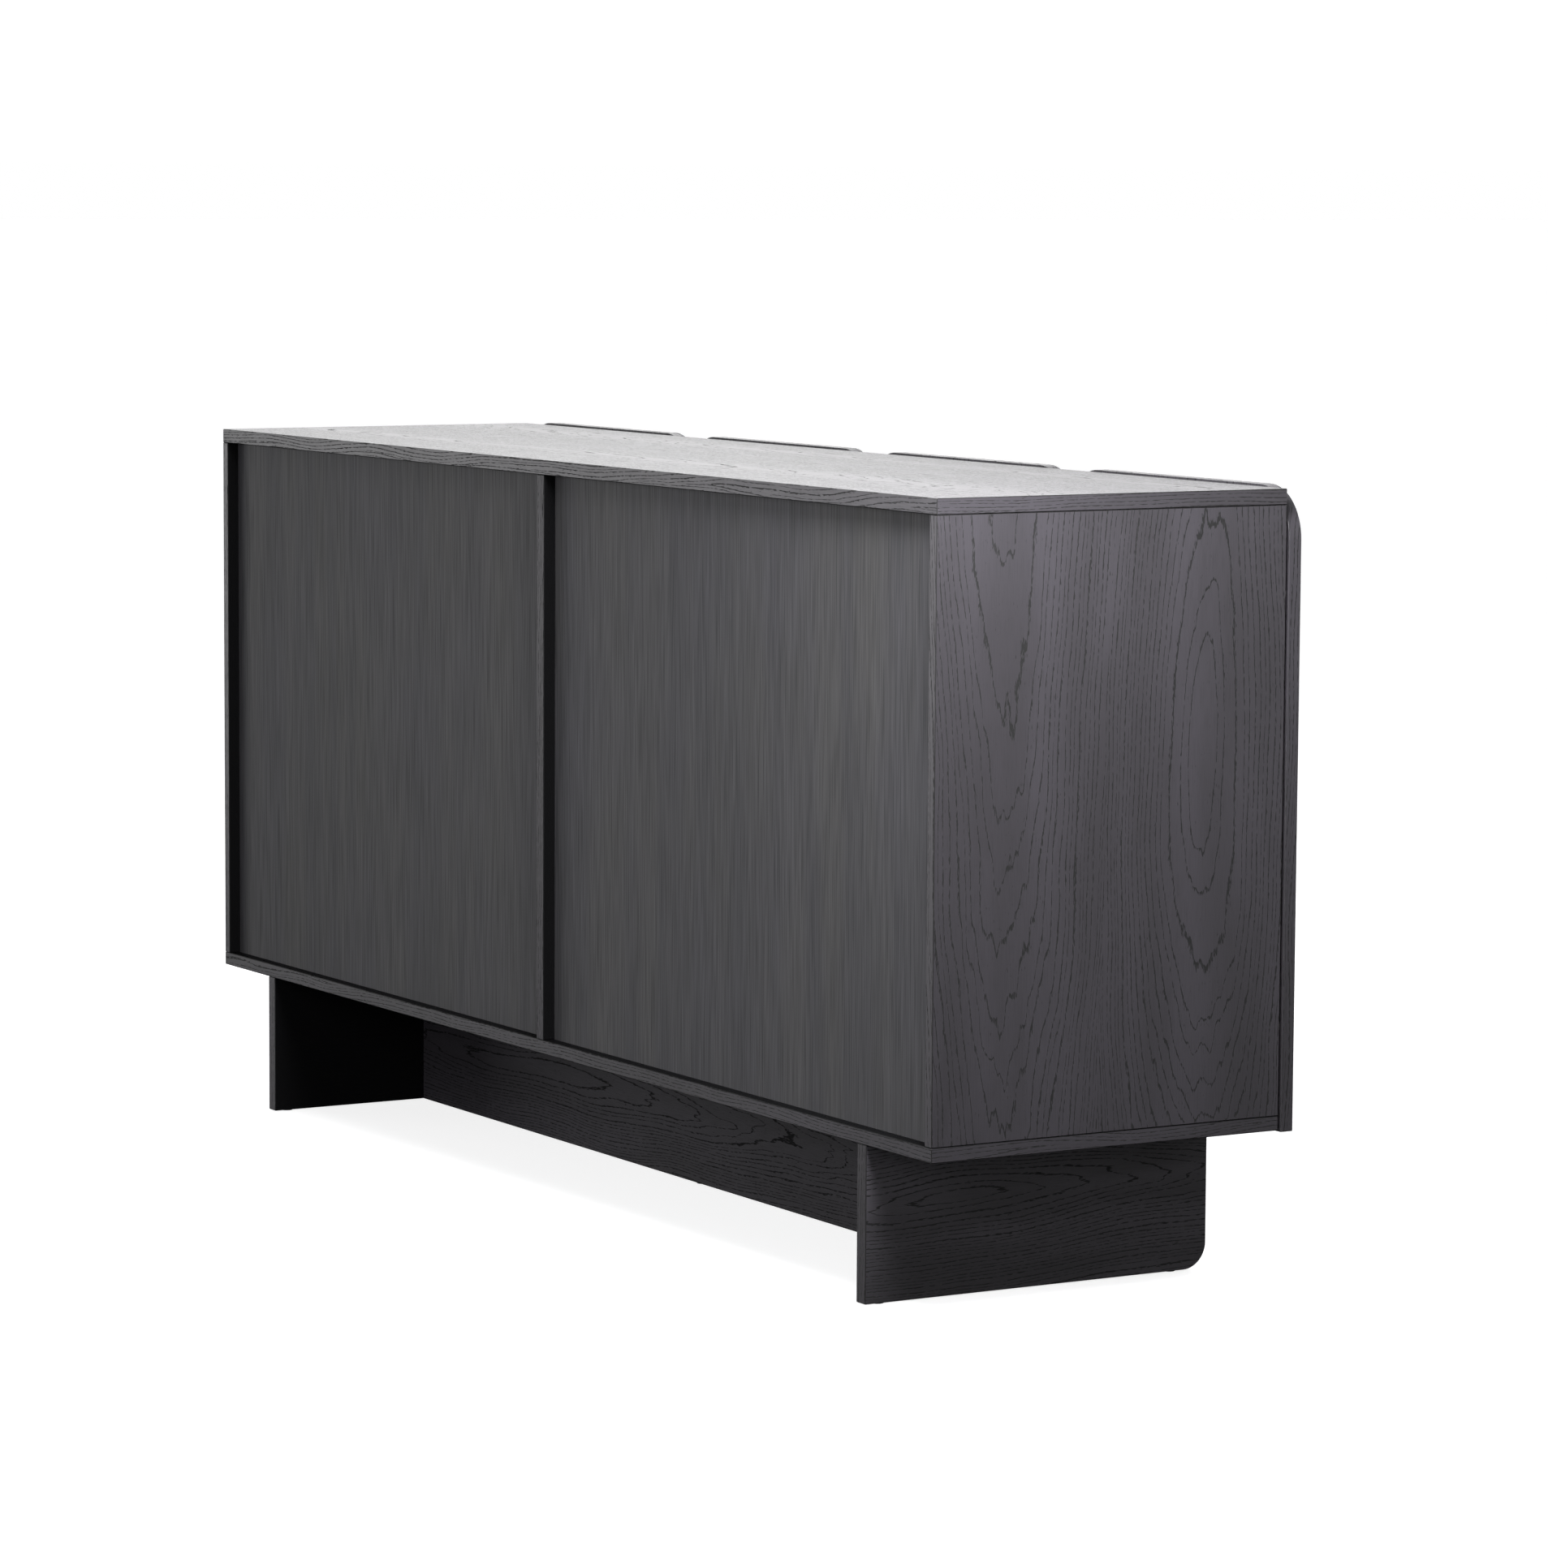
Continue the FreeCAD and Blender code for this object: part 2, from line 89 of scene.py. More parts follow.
# Smooth step: outLow up to value low, outHigh from value high on.
def ease(tree, value, low, high, outLow=0.0, outHigh=1.0):
    return put(tree, "ShaderNodeMapRange", value, low, high, outLow, outHigh,
               interpolation_type="SMOOTHSTEP").outputs[0]


def mixColour(tree, amount, first, second):
    node = put(tree, "ShaderNodeMix", data_type="RGBA")
    for socket, value in ((node.inputs[0], amount), (node.inputs[6], first), (node.inputs[7], second)):
        if isinstance(value, bpy.types.NodeSocket):
            tree.links.new(value, socket)
        else:
            socket.default_value = value
    return node.outputs[2]


def newMaterial(name):
    material = bpy.data.materials.new(name)
    material.use_nodes = True
    tree = material.node_tree
    return material, tree, tree.nodes["Principled BSDF"]


# Links colour, roughness and a bump whose full height is depth metres.
def finishMaterial(tree, shader, colour, roughness, height, depth):
    tree.links.new(colour, shader.inputs["Base Color"])
    tree.links.new(roughness, shader.inputs["Roughness"])
    bump = put(tree, "ShaderNodeBump")
    bump.inputs["Strength"].default_value = 1.0
    bump.inputs["Distance"].default_value = depth
    tree.links.new(height, bump.inputs["Height"])
    tree.links.new(bump.outputs["Normal"], shader.inputs["Normal"])


def dress(name, material):
    slots = nodes[name].data.materials
    slots.clear()
    slots.append(material)


def dressAll(names, material):
    for name in names:
        dress(name, material)


# Distance across and along the grain at a point, in metres.
# The two axes across the grain are added, so a pattern carries on round an edge. A face square
# to the grain has an edge band, whose own grain runs along its longer side.
def grainPlace(tree, grain):
    coords = put(tree, "ShaderNodeTexCoord")
    place, facing = splitAxes(tree, coords.outputs["Object"]), splitAxes(tree, coords.outputs["Normal"])
    lengthwise, first, second = {"x": (0, 1, 2), "y": (1, 2, 0), "z": (2, 0, 1)}[grain]
    ends = ease(tree, calc(tree, "ABSOLUTE", facing[lengthwise]), 0.6, 0.8)
    sides = calc(tree, "SUBTRACT", 1.0, ends)
    across = total(tree, product(tree, total(tree, place[first], place[second]), sides),
                   product(tree, place[second], ends))
    along = total(tree, product(tree, place[lengthwise], sides), product(tree, place[first], ends))
    return across, along


# Noise stretched along the grain; size is its cell, across and along, in metres.
def streaks(tree, across, along, size, seed, detail=1.0):
    place = joinAxes(tree, calc(tree, "DIVIDE", across, size[0]),
                     calc(tree, "DIVIDE", along, size[1]), seed)
    return put(tree, "ShaderNodeTexNoise", place, None, 1.0, detail, 0.5).outputs["Fac"]


# A noise shifted to swing about 0, times its full swing.
def swing(tree, noise, size):
    return product(tree, calc(tree, "SUBTRACT", noise, 0.5), size)


# Cells are the sizes of a noise across and along the grain, limits the two ends of a soft step.
oak = {
    "colour": (0.050, 0.046, 0.055, 1),
    "darker": (0.038, 0.035, 0.041, 1),         # broad soft patches
    "pore": (0.008, 0.008, 0.0085, 1),
    "joint": (0.003, 0.003, 0.003, 1),          # painted shade in the V-grooves between boards; outer edge bevels are darkened the same way
    "jointDark": 0.9,
    "bevelLimits": (0.85, 0.95),
    "paintedShadeColour": (0.006, 0.006, 0.0065, 1),        # painted shade: faces turned inwards, into the recesses and the bays, are made near black
    "paintedShadeShine": 0.02,
    "paintedShadeLimits": (0.6, 0.8),
    "ringWidth": 0.0033,
    "yearsPerMetre": 90.0,                      # good and lean years change this fast
    "yearsVary": 2.0,
    "wanderCell": (0.12, 0.30),
    "wander": 0.034,
    "jagCell": (0.012, 0.10),
    "jag": 0.009,
    "rippleCell": (0.010, 0.05),
    "ripple": 0.35,
    "bandStarts": (0.0, 0.10),                  # the pores' band, in shares of a ring
    "bandEnds": (0.12, 0.42),
    "bandNarrowest": 0.32,                      # at the eye, as a share of its width
    "bandWidens": 0.9,
    "bandPores": 0.36,
    "poreCell": (0.0010, 0.0065),
    "poreLimits": (0.675, 0.835),
    "gapCell": (0.012, 0.035),
    "gaps": 0.30,
    "fibreCell": (0.0006, 0.025),
    "fibreDark": 0.28,
    "fibreLimits": (0.40, 0.75),
    "patchCell": (0.05, 0.35),
    "patchLimits": (0.3, 0.7),
    "roughness": 0.36,
    "poreRough": 0.38,
    "fibreRough": 0.16,
    "shine": 0.5,
    "poreDepth": 0.00005,
    "fibreDepth": 0.15,                         # as a share of the pores' depth
}

# Painted light: the legs' veneer is lighter than the rest, standing in for light bounced up from the floor.
legColourPaintedLighter = (0.078, 0.072, 0.085, 1)

# grain axis; middle of the first leaf's figure across the grain and a leaf's width; where the
# figure's eye lies along the grain and how far it shifts from leaf to leaf; how fast the cut
# leaves the eye's ring, and how much faster from leaf to leaf; depth of the eye under the
# surface; seed; the direction of the faces made near black as painted shade, and whether the
# opposite faces get it too
oakBoards = {
    "side_panel_left": {"grain": "z", "middle": -0.625, "leaf": 0.22, "eye": 0.98, "step": 0.46,
                        "slope": 0.09, "spread": -0.09, "depth": 0.080, "seed": 1.0,
                        "paintedShadeSide": (1, 0, 0)},
    "side_panel_right": {"grain": "z", "middle": 0.85, "leaf": 0.21, "eye": 0.30, "step": 0.40,
                         "slope": 0.13, "depth": 0.030, "seed": 2.0, "paintedShadeSide": (-1, 0, 0)},
    "centre_divider": {"grain": "z", "middle": 0.10, "leaf": 0.20, "eye": 0.30, "step": 0.3,
                       "slope": 0.12, "depth": 0.020, "seed": 3.0, "paintedShadeSide": (1, 0, 0),
                       "paintedShadeBothSides": True, "roughness": 0.44, "shine": 0.4},
    "top_panel": {"grain": "x", "middle": 0.84, "leaf": 0.20, "eye": 0.25, "step": 0.5,
                  "slope": 0.06, "depth": 0.025, "seed": 4.0, "paintedShadeSide": (0, 0, -1)},
    "bottom_panel": {"grain": "x", "middle": 0.26, "leaf": 0.21, "eye": -0.3, "step": 0.4,
                     "slope": 0.07, "depth": 0.030, "seed": 5.0, "paintedShadeSide": (0, 0, 1)},
    "leg_panel_left": {"grain": "y", "middle": -0.545, "leaf": 0.26, "eye": 0.10, "step": 0.2,
                       "slope": 0.10, "depth": 0.012, "seed": 6.0, "paintedShadeSide": (1, 0, 0),
                       "colour": legColourPaintedLighter},
    "leg_panel_right": {"grain": "y", "middle": 0.725, "leaf": 0.25, "eye": -0.10, "step": 0.2,
                        "slope": 0.10, "depth": 0.014, "seed": 7.0, "paintedShadeSide": (-1, 0, 0),
                        "colour": legColourPaintedLighter},
    "base_rail": {"grain": "x", "middle": 0.09, "leaf": 0.24, "eye": 0.35, "step": 0.2,
                  "slope": 0.06, "depth": 0.016, "seed": 8.0, "roughness": 0.50, "shine": 0.2},
}


# Age of the wood at a point, in years. A leaf of veneer is a flat cut beside the tree's middle:
# distance from the middle = square root of (across^2 + depth^2 + (slope x length from the
# eye)^2), so the rings close into arches round the eye and run straight and tight beside it.
# Also how steeply the cut crosses the rings: about 0 at the eye, 1 far out.
def ringAge(tree, across, along, board):
    seed = board["seed"]
    wander = streaks(tree, across, along, oak["wanderCell"], seed, 1.5)
    bent = total(tree, across, swing(tree, wander, oak["wander"]))
    firstEdge = board["middle"] - board["leaf"] / 2
    leaves = calc(tree, "DIVIDE", calc(tree, "SUBTRACT", bent, firstEdge), board["leaf"])
    leafNumber = calc(tree, "FLOOR", leaves)
    local = swing(tree, calc(tree, "FRACT", leaves), board["leaf"])
    away = calc(tree, "SUBTRACT", calc(tree, "SUBTRACT", along, board["eye"]),
                product(tree, leafNumber, board["step"]))
    jag = streaks(tree, across, along, oak["jagCell"], seed + 5.0, 2.0)
    slope = total(tree, product(tree, leafNumber, board.get("spread", 0.0)), board["slope"])
    rise = total(tree, product(tree, calc(tree, "ABSOLUTE", away), slope), swing(tree, jag, oak["jag"]))
    distance = calc(tree, "SQRT", total(tree, product(tree, local, local), product(tree, rise, rise),
                                        board["depth"] ** 2))
    years = put(tree, "ShaderNodeTexNoise", None, product(tree, distance, oak["yearsPerMetre"]), 1.0, 1.0,
                noise_dimensions="1D").outputs["Fac"]
    ripple = streaks(tree, across, along, oak["rippleCell"], seed + 7.0, 1.0)
    age = total(tree, calc(tree, "DIVIDE", distance, oak["ringWidth"]),
                product(tree, years, oak["yearsVary"]), product(tree, ripple, oak["ripple"]))
    lengthwise = product(tree, rise, slope)
    steep = calc(tree, "SQRT", total(tree, product(tree, local, local),
                                     product(tree, lengthwise, lengthwise)))
    return age, calc(tree, "DIVIDE", steep, distance)


# Pores stand in a band at each ring, with smooth wood between. The band narrows towards the
# eye, where the rings are far apart, so its lines keep one width.
def oakPores(tree, across, along, board):
    seed = board["seed"]
    age, steep = ringAge(tree, across, along, board)
    width = total(tree, product(tree, steep, oak["bandWidens"]), oak["bandNarrowest"])
    ring = calc(tree, "DIVIDE", calc(tree, "FRACT", age), calc(tree, "MINIMUM", width, 1.0))
    band = product(tree, ease(tree, ring, *oak["bandStarts"]), ease(tree, ring, *oak["bandEnds"], 1.0, 0.0))
    dash = streaks(tree, across, along, oak["poreCell"], seed, 1.0)
    gaps = streaks(tree, across, along, oak["gapCell"], seed + 2.0, 1.0)
    reach = total(tree, product(tree, band, oak["bandPores"]), swing(tree, gaps, oak["gaps"]))
    return ease(tree, total(tree, dash, reach), *oak["poreLimits"])


# How square a surface is to its nearest axis: 1 on a board's faces, less on the narrow bevels.
def squareness(tree, normal):
    facing = splitAxes(tree, normal)
    largest = calc(tree, "ABSOLUTE", facing[0])
    for axis in (1, 2):
        largest = calc(tree, "MAXIMUM", largest, calc(tree, "ABSOLUTE", facing[axis]))
    return largest


# How far a face is turned towards the side that gets painted shade, from 0 to 1.
def paintedShadeShare(tree, normal, board):
    turned = put(tree, "ShaderNodeVectorMath", normal, board["paintedShadeSide"],
                 operation="DOT_PRODUCT").outputs["Value"]
    if board.get("paintedShadeBothSides"):
        turned = calc(tree, "ABSOLUTE", turned)
    return ease(tree, turned, *oak["paintedShadeLimits"])


# Black-stained oak veneer.
def oakVeneer(name, board):
    material, tree, shader = newMaterial(name)
    normal = put(tree, "ShaderNodeTexCoord").outputs["Normal"]
    across, along = grainPlace(tree, board["grain"])
    seed = board["seed"]
    pores = oakPores(tree, across, along, board)
    fibre = streaks(tree, across, along, oak["fibreCell"], seed + 9.0, 2.0)
    patch = streaks(tree, across, along, oak["patchCell"], seed + 17.0, 2.0)
    colour = mixColour(tree, ease(tree, patch, *oak["patchLimits"]), board.get("colour", oak["colour"]),
                       oak["darker"])
    fibres = ease(tree, fibre, *oak["fibreLimits"], 0.0, oak["fibreDark"])
    colour = mixColour(tree, fibres, colour, oak["pore"])
    colour = mixColour(tree, pores, colour, oak["pore"])
    # Painted shade: the narrow bevels go towards near black, standing in for the shade in the V-grooves
    # between boards, and outer edges are darkened alike.
    bevelShadeMask = ease(tree, squareness(tree, normal), *oak["bevelLimits"],
                  board.get("jointDark", oak["jointDark"]), 0.0)
    colour = mixColour(tree, bevelShadeMask, colour, oak["joint"])
    shine = board.get("shine", oak["shine"])
    # Painted shade: faces turned that way are made near black and lose nearly all their shine.
    if "paintedShadeSide" in board:
        paintedShadeSide = paintedShadeShare(tree, normal, board)
        colour = mixColour(tree, paintedShadeSide, colour, oak["paintedShadeColour"])
        shineUnderPaintedShade = ease(tree, paintedShadeSide, 0.0, 1.0, shine, oak["paintedShadeShine"])
        tree.links.new(shineUnderPaintedShade, shader.inputs["Specular IOR Level"])
    else:
        shader.inputs["Specular IOR Level"].default_value = shine
    rough = total(tree, board.get("roughness", oak["roughness"]), product(tree, pores, oak["poreRough"]),
                  product(tree, fibre, oak["fibreRough"]))
    hollow = total(tree, pores, product(tree, fibre, oak["fibreDepth"]))
    finishMaterial(tree, shader, colour, rough, calc(tree, "SUBTRACT", 1.0, hollow), oak["poreDepth"])
    return material


backVeneer = {
    "dark": (0.070, 0.069, 0.076, 1),
    "light": (0.088, 0.086, 0.088, 1),
    "cool": (0.082, 0.080, 0.093, 1),
    "line": (0.018, 0.018, 0.019, 1),
    "hairCell": (0.0011, 0.09),
    "hairDark": 0.60,
    "hairLimits": (0.40, 0.66),
    "hairRough": 0.15,
    "shiftCell": (0.003, 9.0),
    "hairShift": 0.40,                          # moves each line lengthwise, so no rows show
    "lineCell": (0.005, 0.40),
    "lineDark": 0.18,
    "lineLimits": (0.35, 0.70),
    "stripeCell": (0.045, 0.9),
    "stripeLimits": (0.30, 0.70),
    "cloudCell": (0.16, 0.30),
    "cloudCool": 0.6,
    "cloudLimits": (0.35, 0.75),
    "roughness": 0.58,
    "shine": 0.30,
    "depth": 0.00003,
    "seeds": {"back_panel_left": 31.0, "back_panel_right": 37.0},
}


# Straight fine-line veneer of the back panels: hair-thin lines, broad soft stripes.
def fineLineVeneer(name, seed):
    v = backVeneer
    material, tree, shader = newMaterial(name)
    across, along = grainPlace(tree, "z")
    shift = product(tree, streaks(tree, across, along, v["shiftCell"], seed + 11.0), v["hairShift"])
    hair = streaks(tree, across, total(tree, along, shift), v["hairCell"], seed, 2.0)
    line = streaks(tree, across, along, v["lineCell"], seed + 3.0, 2.0)
    stripe = streaks(tree, across, along, v["stripeCell"], seed + 6.0, 2.0)
    cloud = streaks(tree, across, along, v["cloudCell"], seed + 8.0, 2.0)
    colour = mixColour(tree, ease(tree, stripe, *v["stripeLimits"]), v["dark"], v["light"])
    colour = mixColour(tree, ease(tree, cloud, *v["cloudLimits"], 0.0, v["cloudCool"]), colour, v["cool"])
    colour = mixColour(tree, ease(tree, line, *v["lineLimits"], 0.0, v["lineDark"]), colour, v["line"])
    colour = mixColour(tree, ease(tree, hair, *v["hairLimits"], 0.0, v["hairDark"]), colour, v["line"])
    rough = total(tree, v["roughness"], product(tree, hair, v["hairRough"]))
    shader.inputs["Specular IOR Level"].default_value = v["shine"]
    finishMaterial(tree, shader, colour, rough, calc(tree, "SUBTRACT", 1.0, hair), v["depth"])
    return material


# One grain runs down each column of fronts. Shifts are from column to column.
fronts = {
    "columns": (("door_left",), ("drawer_1_front", "drawer_2_front", "drawer_3_front"),
                ("drawer_4_front", "drawer_5_front", "drawer_6_front"), ("door_right",)),
    "leaf": 0.25,
    "middleShift": 0.03,
    "eye": 0.30,
    "eyeShift": 0.11,
    "step": 0.3,
    "slope": 0.10,
    "slopeShift": 0.02,
    "depth": 0.025,
    "firstSeed": 20.0,
    # painted shade on the fronts' bevels, milder than on the carcass
    "jointDark": 0.3,
}


def frontBoard(column, members):
    low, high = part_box(members[0])
    middleColumn = (len(fronts["columns"]) - 1) / 2
    middle = (low[0] + high[0]) / 2 + low[1] + fronts["middleShift"] * (column - middleColumn)
    return {"grain": "z", "middle": middle, "leaf": fronts["leaf"],
            "eye": fronts["eye"] + fronts["eyeShift"] * column, "step": fronts["step"],
            "slope": fronts["slope"] + fronts["slopeShift"] * column, "depth": fronts["depth"],
            "seed": fronts["firstSeed"] + column, "jointDark": fronts["jointDark"]}


plainBoards = {
    "lineCell": (0.0015, 0.10),
    "lineDark": 0.4,
    "lineLimits": (0.4, 0.7),
    "lineRough": 0.12,
    "stripeCell": (0.02, 0.5),
    "stripeLimits": (0.3, 0.7),
    "depth": 0.00003,
    "finishes": {
        "stained_board": {"nodes": ("partition_left", "partition_right"), "grain": "z", "seed": 41.0,
                          "light": (0.016, 0.016, 0.017, 1), "dark": (0.008, 0.008, 0.009, 1),
                          "roughness": 0.5},
        "shelf_board": {"nodes": ("shelf_left", "shelf_right"), "grain": "x", "seed": 43.0,
                        "light": (0.022, 0.022, 0.023, 1), "dark": (0.010, 0.010, 0.011, 1),
                        "roughness": 0.45},
        "drawer_board": {"nodes": ["drawer_%d_%s" % (number, part) for number in range(1, 7)
                                   for part in ("sides", "back", "bottom")],
                         "grain": "y", "seed": 47.0, "light": (0.034, 0.034, 0.036, 1),
                         "dark": (0.020, 0.020, 0.021, 1), "roughness": 0.5},
        "beech": {"nodes": ("dowels",), "grain": "z", "seed": 53.0, "light": (0.55, 0.40, 0.24, 1),
                  "dark": (0.42, 0.29, 0.16, 1), "roughness": 0.6},
    },
}


# Foil or stained board inside: a faint printed grain under a matt skin.
def plainBoard(name, finish):
    material, tree, shader = newMaterial(name)
    across, along = grainPlace(tree, finish["grain"])
    line = streaks(tree, across, along, plainBoards["lineCell"], finish["seed"], 2.0)
    stripe = streaks(tree, across, along, plainBoards["stripeCell"], finish["seed"] + 4.0, 2.0)
    stripes = ease(tree, stripe, *plainBoards["stripeLimits"])
    colour = mixColour(tree, stripes, finish["light"], finish["dark"])
    lines = ease(tree, line, *plainBoards["lineLimits"], 0.0, plainBoards["lineDark"])
    colour = mixColour(tree, lines, colour, finish["dark"])
    rough = total(tree, finish["roughness"], product(tree, line, plainBoards["lineRough"]))
    finishMaterial(tree, shader, colour, rough, line, plainBoards["depth"])
    return material


def dressWood():
    for name, board in oakBoards.items():
        dress(name, oakVeneer("oak_" + name, board))
    for column, members in enumerate(fronts["columns"]):
        dressAll(members, oakVeneer("oak_front_%d" % (column + 1), frontBoard(column, members)))
    for name, seed in backVeneer["seeds"].items():
        dress(name, fineLineVeneer("fine_line_" + name, seed))
    for name, finish in plainBoards["finishes"].items():
        dressAll(finish["nodes"], plainBoard(name, finish))
    print("wood dressed")


metals = {
    "markCell": (0.0004, 0.02),
    "markRough": 0.14,
    "stainCell": (0.03, 0.04),
    "stainLimits": (0.35, 0.75),
    "depth": 0.00001,
    "finishes": {
        "nickel_plate": {"nodes": ("hinge_cups_left", "hinge_cups_right", "hinge_arms", "cam_locks",
                                   "cam_bolts", "base_screws", "shelf_pins"),
                         "grain": "z", "seed": 61.0, "light": (0.62, 0.61, 0.60, 1),
                         "dark": (0.48, 0.47, 0.46, 1), "roughness": 0.22},
        "zinc_plate": {"nodes": ["cabinet_runners"]
                       + ["drawer_%d_runners" % number for number in range(1, 7)],
                       "grain": "y", "seed": 67.0, "light": (0.55, 0.56, 0.58, 1),
                       "dark": (0.43, 0.44, 0.45, 1), "roughness": 0.30},
    },
}


# Plated steel with fine rolling marks along one axis and faint stains.
def platedSteel(name, finish):
    material, tree, shader = newMaterial(name)
    across, along = grainPlace(tree, finish["grain"])
    marks = streaks(tree, across, along, metals["markCell"], finish["seed"], 2.0)
    stain = streaks(tree, across, along, metals["stainCell"], finish["seed"] + 2.0, 3.0)
    colour = mixColour(tree, ease(tree, stain, *metals["stainLimits"]), finish["light"], finish["dark"])
    rough = total(tree, finish["roughness"], product(tree, marks, metals["markRough"]))
    shader.inputs["Metallic"].default_value = 1.0
    finishMaterial(tree, shader, colour, rough, marks, metals["depth"])
    return material


plastics = {
    "grainScale": 1400.0,
    "grainRough": 0.15,
    "patchLimits": (0.35, 0.7),
    "depth": 0.00002,
    "finishes": {
        "black_plastic": {"nodes": ("floor_glides", "latch_housings"), "patchScale": 61.0,
                          "dark": (0.018, 0.018, 0.019, 1), "light": (0.026, 0.026, 0.027, 1),
                          "roughness": 0.45},
        "grey_plastic": {"nodes": ("latch_plunger_left", "latch_plunger_right"), "patchScale": 63.0,
                         "dark": (0.20, 0.20, 0.21, 1), "light": (0.27, 0.27, 0.28, 1),
                         "roughness": 0.40},
    },
}


# Moulded plastic with a fine spark-eroded texture.
def mouldedPlastic(name, finish):
    material, tree, shader = newMaterial(name)
    place = put(tree, "ShaderNodeTexCoord").outputs["Object"]
    grain = put(tree, "ShaderNodeTexNoise", place, None, plastics["grainScale"], 2.0).outputs["Fac"]
    patch = put(tree, "ShaderNodeTexNoise", place, None, finish["patchScale"], 2.0).outputs["Fac"]
    colour = mixColour(tree, ease(tree, patch, *plastics["patchLimits"]), finish["dark"], finish["light"])
    rough = total(tree, finish["roughness"], product(tree, grain, plastics["grainRough"]))
    finishMaterial(tree, shader, colour, rough, grain, plastics["depth"])
    return material


# Gives the metal and plastic nodes their materials, and returns those by name.
def dressHardware():
    finishes = {}
    for group, make in ((metals, platedSteel), (plastics, mouldedPlastic)):
        for name, finish in group["finishes"].items():
            finishes[name] = make(name, finish)
            dressAll(finish["nodes"], finishes[name])
    print("hardware dressed")
    return finishes


# Quads between neighbouring rings of a grid of points, each ring closed.
def ringFaces(rings, around):
    start = (np.arange(rings - 1) * around)[:, None]
    here = np.arange(around)[None, :]
    after = (here + 1) % around
    quads = np.stack([start + here, start + after, start + around + after, start + around + here], axis=-1)
    return quads.reshape(-1, 4).tolist()


# A closed outline carried along an axis: point = centre + scale x outline + height x axis.
# Stations are pairs of scale and height; the ends of scale 0 close it.
def shell(outline, stations, centre, axes):
    side, other, axis = (np.array(each, float) for each in axes)
    scale, height = np.array(stations, float).T[:, :, None, None]
    flat = outline[:, :1] * side + outline[:, 1:] * other
    points = np.array(centre, float) + scale * flat + height * axis
    return points.reshape(-1, 3), ringFaces(len(stations), len(outline))


# A unit circle: the cosine and sine of even angles.
def circle(steps=32):
    angle = np.arange(steps) * 2 * math.pi / steps
    return np.stack([np.cos(angle), np.sin(angle)], axis=1)


# Box outline with rounded corners: each quarter circle is moved out to its own corner.
def roundedBox(halfWide, halfHigh, radius, steps=8):
    angle = (np.arange(4 * steps) // steps * steps + np.tile(np.arange(steps) * steps / (steps - 1), 4))
    angle = angle * math.pi / 2 / steps
    turn = np.stack([np.cos(angle), np.sin(angle)], axis=1)
    corner = np.sign(np.repeat([[1, 1], [-1, 1], [-1, -1], [1, -1]], steps, axis=0))
    return corner * [halfWide - radius, halfHigh - radius] + radius * turn


# A section carried straight along y, from back to front, with flat ends.
def alongY(section, start, end, wall, inward, height):
    xz = np.stack([wall + inward * section[:, 0], height + section[:, 1]], axis=1)
    rings = [np.insert(xz, 1, y, axis=1) for y in (start, end)]
    count = len(section)
    faces = ringFaces(2, count) + [list(range(count)), list(range(2 * count - 1, count - 1, -1))]
    return np.concatenate(rings), faces


# Sheet metal section: a middle line moved half the metal's thickness to each side.
def sheetSection(line, metal):
    line = np.array(line, float)
    along = np.gradient(line, axis=0)
    normal = np.stack([-along[:, 1], along[:, 0]], axis=1)
    normal *= metal / 2 / np.linalg.norm(normal, axis=1, keepdims=True)
    return np.concatenate([line + normal, (line - normal)[::-1]])


# Rounds a line's corners: every corner is cut back by the radius and bridged by an arc of points.
def roundedLine(corners, radius, steps=5):
    corners = np.array(corners, float)
    before, after = corners[:-2] - corners[1:-1], corners[2:] - corners[1:-1]
    before *= radius / np.linalg.norm(before, axis=1, keepdims=True)
    after *= radius / np.linalg.norm(after, axis=1, keepdims=True)
    share = np.linspace(0, 1, steps)[None, :, None]
    middle = corners[1:-1, None]
    bends = (middle + (1 - share) ** 2 * before[:, None] + share ** 2 * after[:, None]).reshape(-1, 2)
    return np.concatenate([corners[:1], bends, corners[-1:]])


# Shares of the head's radius, and of the bars' own sizes for the eases.
headShape = {
    "barHalf": 0.13, "barReach": 0.58, "deep": 0.34,
    "sideEase": 0.4, "endEase": 0.2,
    "edgeDrop": 0.7,                            # share of the rise lost towards the rim
}


# A round head with a cross recess: height over the disc = dome - depth x cross, where the cross
# is 1 within its two bars and eases to 0 at their edges. Below is the rest of its outline, as
# pairs of radius and height.
def crossHead(centre, axes, radius, rise, below, rings=12, around=48):
    h = headShape
    side, other, axis = (np.array(each, float) for each in axes)
    away = np.linspace(0, 1, rings)[:, None] * radius
    angle = np.arange(around)[None, :] * 2 * math.pi / around
    x, y = away * np.cos(angle), away * np.sin(angle)
    wide, long = h["barHalf"] * radius, h["barReach"] * radius
    across, along = np.abs(x), np.abs(y)
    bars = [np.clip((wide - a) / (h["sideEase"] * wide) + 1, 0, 1)
            * np.clip((long - b) / (h["endEase"] * long), 0, 1)
            for a, b in ((across, along), (along, across))]
    height = rise * (1 - h["edgeDrop"] * (away / radius) ** 3) - h["deep"] * radius * np.maximum(*bars)
    lower = np.array(list(below) + [(0, below[-1][1])], float)
    allAway = np.concatenate([np.broadcast_to(away, x.shape), np.repeat(lower[:, :1], around, axis=1)])
    allHeight = np.concatenate([height, np.repeat(lower[:, 1:], around, axis=1)])
    points = (allAway * np.cos(angle))[..., None] * side + (allAway * np.sin(angle))[..., None] * other
    points = np.array(centre, float) + points + allHeight[..., None] * axis
    return points.reshape(-1, 3), ringFaces(len(allAway), around)


